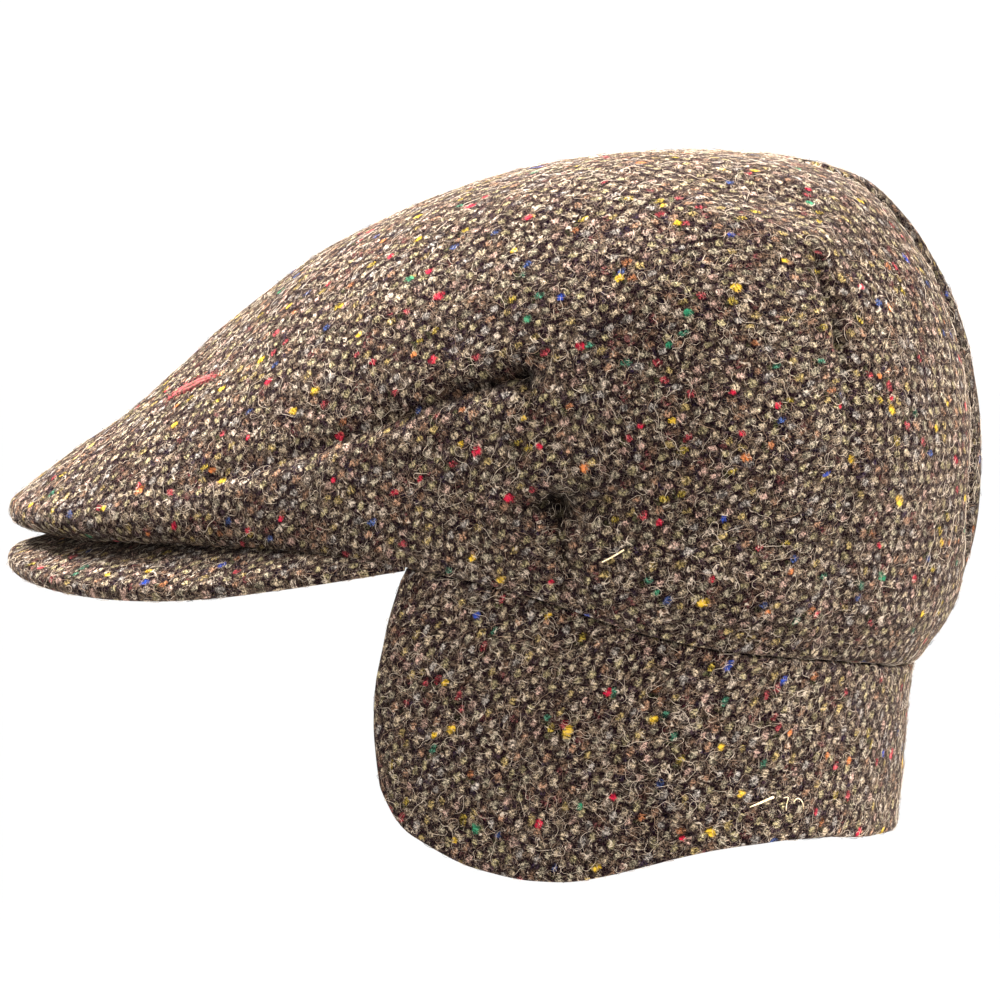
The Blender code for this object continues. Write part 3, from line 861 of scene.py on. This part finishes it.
def tweed(name, shift):
    """Coarse plain-woven tweed: light hairy nubs on dark yarn, with bright flecks and loose hairs."""
    f = Finish(name)
    at = f.node("ShaderNodeUVMap", {"uv_map": CLOTH_MAP}, {})[0]
    at = f.vector("ADD", at, (*shift, 0.0))
    wander = f.vector("SUBTRACT", f.grain(at, 0.10)["Color"], (0.5, 0.5, 0.5))
    ragged = f.vector("SUBTRACT", f.grain(at, 1.3, 2.0, 0.7)["Color"], (0.5, 0.5, 0.5))
    loose = f.vector("ADD", at, f.vector("MULTIPLY", wander, (WANDER, WANDER, 0)))
    loose = f.vector("ADD", loose, f.vector("MULTIPLY", ragged, (RAGGED, RAGGED, 0)))
    u, v, _ = f.parts(loose)

    # Fibres along the light yarn, and across it on the dark one
    streaks = f.smooth(f.grain(f.joined(u * 0.55, v * 1.6), 1.0, 1.0, 0.6, 0.5)["Fac"], 0.38, 0.62)
    crosses = f.smooth(f.grain(f.joined(u * 1.6, v * 0.5 + 40.0), 1.0, 1.0, 0.6, 0.4)["Fac"], 0.42, 0.66)

    # Light nubs, and darker ones of the crossing yarn half a step away
    lattice = f.joined((u + v) / (2 * CELL), (v - u) / (2 * CELL))
    tint, bright, size, reach = f.ovals(lattice, 0.16, CELL / NUB_HALF_WIDTH, CELL / NUB_HALF_LENGTH)
    reach = reach * (1.25 - size * 0.5) + (0.5 - streaks) * 0.6
    light = f.smooth(reach, 1.6, 0.2)
    between = f.vector("ADD", lattice, (0.5, 0.5, 0.0))
    across, along = CELL / UNDER_HALF_LENGTH, CELL / UNDER_HALF_WIDTH
    under_tint, under_bright, _, away = f.ovals(between, 0.3, across, along)
    low = f.smooth(away + (0.5 - crosses) * 0.8, 1.5, 0.2)

    # Fine hairs curling over both
    fibres = f.fibre_lines(at, 1.0, 0.060, 0.6)
    curls = f.fibre_lines(f.vector("ADD", at, (53.0, 29.0, 0)), 0.6, 0.040, 0.9)
    tangle = curls.or_more(fibres * 0.8)

    # Painted shade: each nub is darker towards its edges and brightest on its crown; its fibres show light,
    # partly the yarn's own tone and partly painted shade in the gaps between them
    hairy = streaks * 0.80 + tangle * 0.46 + 0.16
    yarn = f.darkened(f.palette(tint, YARN_COLOURS), (bright * 0.25 + 0.43) * hairy * (1.12 - reach * 0.36))
    dull = f.palette(under_tint, UNDER_COLOURS)
    dull = f.darkened(dull, (under_bright * 0.9 + 0.25) * (crosses + 0.05))
    ground = f.mix(low, DARK_YARN, dull)
    patchy = f.smooth(f.grain(at, 0.5, 1.0)["Fac"], 0.35, 0.65)
    ground = f.mix(tangle * (patchy * 0.5 + 0.12), ground, TAN_HAIR)
    # Fine noise over the whole cloth: partly the fibres' own grain, partly painted shade in the gaps between
    # them
    fine = f.smooth(f.grain(at, 2.2, 1.0, 0.6, 0.8)["Fac"], 0.34, 0.66)
    colour = f.darkened(f.mix(light, ground, yarn), fine + 0.19)

    # Bright flecks spun into the yarn
    spread = f.vector("MULTIPLY", loose, (1 / FLECK_SPACING, 1 / FLECK_SPACING, 0))
    across, along = FLECK_SPACING / FLECK_HALF_WIDTH, FLECK_SPACING / FLECK_HALF_LENGTH
    fleck_size, keep, hue, reach = f.ovals(spread, 1.0, across, along, turned=False)
    reach = reach * (fleck_size * 1.6 + 0.7) + (0.5 - streaks) * 0.5
    dyed = f.palette(hue, FLECK_COLOURS)
    # Painted shade: each fleck is darker towards its edge
    dyed = f.darkened(dyed, (streaks * 0.5 + tangle * 0.3 + 0.3) * (1.1 - reach * 0.4))
    fleck = f.smooth(reach, 1.6, 0.2) * (keep > 0.35)
    colour = f.mix(fleck * 0.88, colour, dyed)

    # Single pale hairs over everything
    long_hair = f.fibre_lines(f.vector("ADD", at, (91.0, 17.0, 0)), 0.40, 0.022, 1.0) * patchy
    colour = f.mix(long_hair * 0.7, colour, PALE_HAIR)

    # Painted shade: seams and the bottoms of sharp folds are darkened in the colour
    deep = f.node("ShaderNodeAttribute", {"attribute_name": FOLD_SHADE}, {})["Fac"]
    colour = f.darkened(colour, 1 - deep * 0.75)

    lift = light * 0.17 + low * 0.08 + fleck * 0.10 + long_hair * 0.14 + tangle * 0.14 + streaks * 0.08
    bump = f.node("ShaderNodeBump", {}, {"Strength": 1.0, "Distance": MM, "Height": lift})[0]
    fixed = {
        "Roughness": 1.0,
        "Specular IOR Level": 0.0,
        "Sheen Weight": 0.11,
        "Sheen Roughness": 0.25,
        "Sheen Tint": (1.0, 0.80, 0.67, 1),
    }
    return f.end(fixed, colour, bump)


def hair_finish(name, colour):
    """Wool hair."""
    f = Finish(name)
    return f.end({"Base Color": (*colour, 1), "Roughness": 0.7, "Specular IOR Level": 0.3})


def sample_surface(cloth, first, last, count, random):
    """Scattered places on the faces between two vertices of a piece: points and normals."""
    mesh = cloth.data
    mesh.calc_loop_triangles()
    tris = numbers(mesh.loop_triangles, "vertices", 3, np.int32)
    tris = tris[((tris >= first) & (tris < last)).all(1)]
    corners = numbers(mesh.vertices, "co", 3)[tris]
    outward = numbers(mesh.vertex_normals, "vector", 3)[tris]
    sides = corners[:, 1:] - corners[:, :1]
    area = np.linalg.norm(np.cross(sides[:, 0], sides[:, 1]), axis=1)
    pick = random.choice(len(area), count, p=area / area.sum())
    a, b = random.random((2, count))
    a, b = np.where(a + b > 1, 1 - a, a), np.where(a + b > 1, 1 - b, b)
    share = np.stack([1 - a - b, a, b], 1)[..., None]
    return (corners[pick] * share).sum(1), unit((outward[pick] * share).sum(1))


CURL_RADIUS = 2.6  # millimetres, of a hair that curls as much as most
HAIR_TIP = 0.35  # of a hair's radius, left where it is thinnest
HAIR_SIDES = 3


def lay_hairs(tree, root, n, length, lift, radius, segments, random):
    """Points and faces of curling tapered hairs that follow the cloth. Length, lift and radius in metres."""
    count = len(root)
    helper = np.where(np.abs(n[:, 2:]) < 0.9, [[0, 0, 1.0]], [[1.0, 0, 0]])
    t1 = unit(np.cross(n, helper))
    t2 = np.cross(n, t1)
    s = np.linspace(0, 1, segments + 1)
    start, phase = random.uniform(0, 2 * np.pi, (2, count, 1))
    bend = random.normal(0, 1, count)[:, None] * (length / (MM * CURL_RADIUS))[:, None]
    swing = random.uniform(0.2, 0.8, count)[:, None]
    heading = start + bend * s + swing * np.sin(2 * np.pi * s * 1.3 + phase)
    step = (length / segments)[:, None]
    x = np.cumsum(np.cos(heading) * step, 1)
    y = np.cumsum(np.sin(heading) * step, 1)
    height = np.sin(np.pi * s)[None] * lift[:, None] + radius[:, None]
    loose = root[:, None] + t1[:, None] * x[..., None] + t2[:, None] * y[..., None]
    line, up = np.empty_like(loose), np.empty_like(loose)
    for i, j in np.ndindex(loose.shape[:2]):
        place, out, _, _ = tree.find_nearest(loose[i, j])
        line[i, j], up[i, j] = place + out * height[i, j], out
    taper = HAIR_TIP + (1 - HAIR_TIP) * np.sin(np.pi * np.clip(0.12 + 0.8 * s, 0, 1))
    return tubes(line, up, radius[:, None] * taper[None], HAIR_SIDES)


def tubes(line, up, thick, sides):
    """Points and faces of tapered tubes along lines, all of one number of steps."""
    way = unit(np.gradient(line, axis=1))
    side = unit(np.cross(way, up))
    up = np.cross(side, way)
    angles = 2 * np.pi * np.arange(sides) / sides
    ring = [line + thick[..., None] * (math.cos(angle) * up + math.sin(angle) * side) for angle in angles]
    points = np.stack(ring, 2).reshape(-1, 3)
    count, steps = line.shape[:2]
    per = sides * steps
    base = per * np.arange(count)[:, None, None]
    i, k = np.meshgrid(np.arange(steps - 1), np.arange(sides), indexing="ij")
    i, k = sides * i.ravel(), k.ravel()
    after = (k + 1) % sides
    quads = base + np.stack([i + k, i + after, i + sides + after, i + sides + k], 1)
    ends = base + np.array([np.arange(sides)[::-1], per - sides + np.arange(sides)])
    return points, quads.reshape(-1, 4), ends.reshape(-1, sides)


HAIR_KINDS = (
    # name, share, linear colour
    ("pale", 0.46, (0.46, 0.37, 0.28)),
    ("tan", 0.32, (0.24, 0.150, 0.095)),
    ("dark", 0.22, (0.012, 0.006, 0.007)),
)
# Long and short hairs: ranges of length and lift in millimetres, steps along each, and share of all
HAIR_LENGTHS = (((3.0, 9.0), (0.05, 0.35), 9, 0.50), ((1.2, 3.2), (0.15, 0.60), 4, 0.50))
HAIR_RADIUS = (0.038, 0.066)  # range in millimetres
FUZZ_SEED = 7


def outer_tree(cloth, first, last):
    """The faces between two vertices of a piece, ready for finding the nearest place on them."""
    faces = [tuple(face.vertices) for face in cloth.data.polygons]
    faces = [face for face in faces if first <= min(face) and max(face) < last]
    return BVHTree.FromPolygons([v.co for v in cloth.data.vertices], faces)


def make_tubes(name, sets, finish):
    """One piece of several sets of tubes."""
    points, faces, first = [], [], 0
    for got, quads, ends in sets:
        points.append(got)
        faces += (quads + first).tolist() + (ends + first).tolist()
        first += len(got)
    ob = make_piece(name, np.concatenate(points), faces)
    ob.data.materials.append(finish)
    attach(ob, "root")


def make_fuzz(slot, cloth, first, last, tree, total, random, finishes):
    """Loose wool hairs all over the faces between two vertices of a cloth piece."""
    for kind, share, _ in HAIR_KINDS:
        sets = []
        for length, lift, segments, part in HAIR_LENGTHS:
            count = int(total * share * part)
            root, n = sample_surface(cloth, first, last, count, random)
            sizes = [MM * random.uniform(*span, count) for span in (length, lift, HAIR_RADIUS)]
            sets.append(lay_hairs(tree, root, n, *sizes, segments, random))
        make_tubes(f"{slot}_fuzz_{kind}", sets, finishes[kind])


# Bits of straw caught in the wool: the piece that each lies on, then for each of its points the pixel of the
# photograph and the radius in millimetres
STRAWS = {
    "straw_at_dart": ("crown", ((602.0, 562.1, 0.17), (613.0, 556.4, 0.22), (624.0, 549.8, 0.24))),
    "straw_on_flap": ("flap", ((749.5, 807.1, 0.15), (761.0, 802.2, 0.30), (773.3, 796.8, 0.36))),
    "straw_upright": (
        "flap",
        ((785.9, 810.3, 0.11), (786.6, 803.5, 0.14), (787.9, 797.6, 0.15), (783.3, 797.9, 0.12)),
    ),
    "straw_bent": (
        "flap",
        ((793.7, 802.0, 0.13), (796.8, 798.5, 0.19), (801.6, 801.0, 0.14), (803.7, 809.1, 0.07)),
    ),
}
STRAW_HEIGHT = 0.7  # how far a straw's middle lies out from the cloth, in radii
STRAW_SIDES = 7
# A thick length of red yarn in the crown's cloth, in the same terms
SLUB = ((169, 399, 0.35), (180, 392.5, 0.65), (192, 386, 0.70), (204, 380.5, 0.6), (216, 377, 0.3))
SLUB_HEIGHT = 0.3
STRANDS = (-1.5, -0.5, 0.5, 1.5)  # its strands beside one another, in steps
STRAND_STEP = 0.65 * MM
STRAND_WAVE = 0.35 * MM
SLUB_HAIRS = 90
SLUB_SEED = 11
SLUB_SPREAD = 0.9 * MM
SLUB_HAIR_SIZES = ((1.5, 4.5), (0.5, 1.1), (0.06, 0.10))  # ranges of length, lift and radius in millimetres
SLUB_HAIR_STEPS = 6


def seen_at(tree, x, y):
    """The place on a piece that shows at a pixel of the photograph."""
    eye = Vector(CAMERA_AT)
    look = (Vector(CAMERA_LOOKS_AT) - eye).normalized()
    right = look.cross(Vector((0, 0, 1))).normalized()
    up = right.cross(look)
    scale = SENSOR / CAMERA_LENS / PICTURE
    ray = look + right * ((x - PICTURE / 2) * scale) + up * ((PICTURE / 2 - y) * scale)
    return tree.ray_cast(eye, ray.normalized())[0]


def straw_finish():
    """Dry straw with darker streaks."""
    f = Finish("dry_straw")
    at = f.node("ShaderNodeTexCoord", {}, {})["Object"]
    streaks = f.node("ShaderNodeTexNoise", {}, {"Vector": at, "Scale": 1500.0, "Detail": 2.0})["Fac"]
    colour = f.mix(f.smooth(streaks, 0.3, 0.7), (0.55, 0.38, 0.19, 1), (0.86, 0.70, 0.46, 1))
    return f.end({"Roughness": 0.6, "Specular IOR Level": 0.3}, colour)


def slub_finish():
    """Loosely spun red wool."""
    f = Finish("red_slub_wool")
    at = f.node("ShaderNodeTexCoord", {}, {})["Object"]
    fibres = f.node("ShaderNodeTexNoise", {}, {"Vector": at, "Scale": 900.0, "Detail": 3.0, "Roughness": 0.7})
    fibres = fibres["Fac"]
    colour = f.mix(f.smooth(fibres, 0.42, 0.62), (0.13, 0.075, 0.058, 1), (0.33, 0.060, 0.066, 1))
    bump = f.node("ShaderNodeBump", {}, {"Strength": 1.0, "Distance": MM, "Height": fibres * 0.6})[0]
    return f.end({"Roughness": 1.0, "Specular IOR Level": 0.0}, colour, bump)


def middle_line(tree, stops):
    """A smooth line through what shows at some pixels: its parameter, its points and its radii."""
    places = np.array([seen_at(tree, x, y) for x, y, _ in stops])
    at, nodes = np.linspace(0, len(stops) - 1, 6 * len(stops)), np.arange(len(stops))
    line = np.stack([spline(at, nodes, places[:, k], level=False) for k in range(3)], 1)
    return at, line, MM * spline(at, nodes, [stop[2] for stop in stops], level=False)


def laid_tube(tree, middle, thick, height, aside=None):
    """A tube laid on a piece along a line, or beside it by the distances in aside."""
    line, out = np.empty_like(middle), np.empty_like(middle)
    way = np.gradient(middle, axis=0)
    for i, point in enumerate(middle):
        if aside is not None:
            side = Vector(way[i]).cross(tree.find_nearest(point)[1]).normalized()
            point = Vector(point) + side * (aside[i] * thick[i] / thick.max())
        place, n, _, _ = tree.find_nearest(point)
        line[i], out[i] = place + n * (thick[i] * height), n
    return tubes(line[None], out[None], thick[None], STRAW_SIDES)


def make_slub(tree, random):
    """The length of loosely spun red yarn: wavy strands side by side, with hairs of their own."""
    at, middle, thick = middle_line(tree, SLUB)
    sets = []
    for strand in STRANDS:
        aside = strand * STRAND_STEP + STRAND_WAVE * np.sin(2.2 * at + 2.1 * strand)
        sets.append(laid_tube(tree, middle, thick, SLUB_HEIGHT, aside))
    root = middle[random.integers(0, len(middle), SLUB_HAIRS)]
    root = root + random.normal(0, SLUB_SPREAD, (SLUB_HAIRS, 3))
    n = np.array([tree.find_nearest(point)[1] for point in root])
    sizes = [MM * random.uniform(*span, SLUB_HAIRS) for span in SLUB_HAIR_SIZES]
    sets.append(lay_hairs(tree, root, n, *sizes, SLUB_HAIR_STEPS, random))
    make_tubes("red_slub", sets, slub_finish())


FLOOR_HALF = 6.0
SKY = 1.06  # strength of the even light from all round
# Place and power of each lamp. Their light is shielded, so that it leaves most of the floor alone.
LAMPS = {
    "lamp_above": ((0.50, 0.05, 0.95), 1.7),
    "lamp_behind": ((0.0, 1.2, 0.75), 4.7),
    "lamp_before": ((-0.35, -0.85, 1.2), 11.6),
}
LAMP_SIZE = 0.5
LAMP_SPREAD = math.radians(40)


def make_stage():
    """Plain pale floor, soft light and the camera."""
    mesh = bpy.data.meshes.new("floor")
    corners = [(x * FLOOR_HALF, y * FLOOR_HALF, FLOOR_Z) for x, y in ((-1, -1), (1, -1), (1, 1), (-1, 1))]
    mesh.from_pydata(corners, [], [(0, 1, 2, 3)])
    floor = added("floor", mesh)
    mesh.materials.append(Finish("floor_paper").end({"Base Color": (0.95, 0.95, 0.95, 1), "Roughness": 1.0}))
    world = bpy.data.worlds.new("studio")
    bpy.context.scene.world = world
    world.use_nodes = True
    sky = world.node_tree.nodes["Background"]
    sky.inputs["Color"].default_value = (1, 1, 1, 1)
    sky.inputs["Strength"].default_value = SKY
    for name, (place, power) in LAMPS.items():
        data = bpy.data.lights.new(name, "AREA")
        data.size, data.energy, data.spread = LAMP_SIZE, power, LAMP_SPREAD
        aim(added(name, data), place, (0, 0, 0))
    data = bpy.data.cameras.new("camera")
    data.lens, data.sensor_width = CAMERA_LENS, SENSOR
    data.clip_start, data.clip_end = 0.1, 30.0
    bpy.context.scene.camera = added("camera", data)
    aim(bpy.context.scene.camera, CAMERA_AT, CAMERA_LOOKS_AT)


def aim(ob, place, target):
    """Puts a lamp or the camera at a place and turns it to a target."""
    ob.location = place
    ob.rotation_euler = (Vector(target) - Vector(place)).to_track_quat("-Z", "Y").to_euler()


bpy.context.scene.view_settings.view_transform = "Standard"
crown_cloth, crown_outer = make_crown()
peak_cover = make_peak()
flap_cloth, flap_cut = make_flap()
flap_count, peak_count = len(flap_cloth.data.vertices), len(peak_cover.data.vertices)
SHOWN = {
    # slot: piece, first vertex of what shows and the first one after it, number of hairs
    "crown": (crown_cloth, 0, crown_outer, 8600),
    "flap": (flap_cloth, flap_count // 2, flap_count, 3200),
    "peak": (peak_cover, 0, peak_count, 1900),
}
declare_cloth(crown_cloth)
declare_cloth(peak_cover)
declare_cloth(flap_cloth)
trees = {slot: outer_tree(*row[:3]) for slot, row in SHOWN.items()}
straw = straw_finish()
for name, (slot, stops) in STRAWS.items():
    _, middle, thick = middle_line(trees[slot], stops)
    make_tubes(name, [laid_tube(trees[slot], middle, thick, STRAW_HEIGHT)], straw)
make_slub(trees["crown"], np.random.default_rng(SLUB_SEED))
hair_finishes = {kind: hair_finish(kind + "_hair", colour) for kind, _, colour in HAIR_KINDS}
random = np.random.default_rng(FUZZ_SEED)
for slot, (cloth, first, last, hairs) in SHOWN.items():
    make_fuzz(slot, cloth, first, last, trees[slot], hairs, random, hair_finishes)
make_stage()
